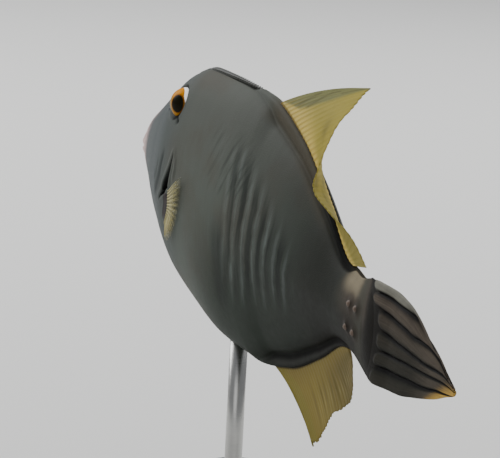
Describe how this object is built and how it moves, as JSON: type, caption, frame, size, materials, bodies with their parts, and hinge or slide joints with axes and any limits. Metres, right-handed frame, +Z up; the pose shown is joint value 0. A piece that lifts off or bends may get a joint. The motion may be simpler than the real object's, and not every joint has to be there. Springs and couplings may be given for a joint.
{
  "type": "barred filefish display model",
  "caption": "Life-size still model of a barred filefish swimming with its tail swung to its left, held by a rod on a flat rounded base.",
  "frame": {"origin": "middle of the stand base's underside, which rests on a table", "axes": "the fish's length lies along X with its snout at -X, its left side faces -Y, +Z is up"},
  "size_m": [0.296, 0.092, 0.2099],
  "materials": {
    "skin": "grey-brown fish skin with fine velvety scales and faint dark bars, satin",
    "stalk": "paler brown-grey fish skin with pinkish hooked spines, satin",
    "eye": "orange iris and near-black pupil under a clear wet cornea",
    "spine": "rough brownish bony spine",
    "fin": "pale yellow ribbed fin membrane",
    "tail": "dark brown folded rays with a dull orange margin",
    "lacquer": "black satin lacquer on wood",
    "steel": "fine brushed steel"
  },
  "bodies": {
    "root": {"head": "skin", "trunk": "skin", "caudal_peduncle": "stalk", "eye_left": "eye", "eye_right": "eye", "dorsal_spine": "spine", "pelvic_rudiment": "spine", "soft_dorsal_fin": "fin", "anal_fin": "fin", "pectoral_fin_left": "fin", "pectoral_fin_right": "fin", "caudal_fin": "tail", "stand_base": "lacquer", "stand_rod": "steel"}
  },
  "joints": []
}
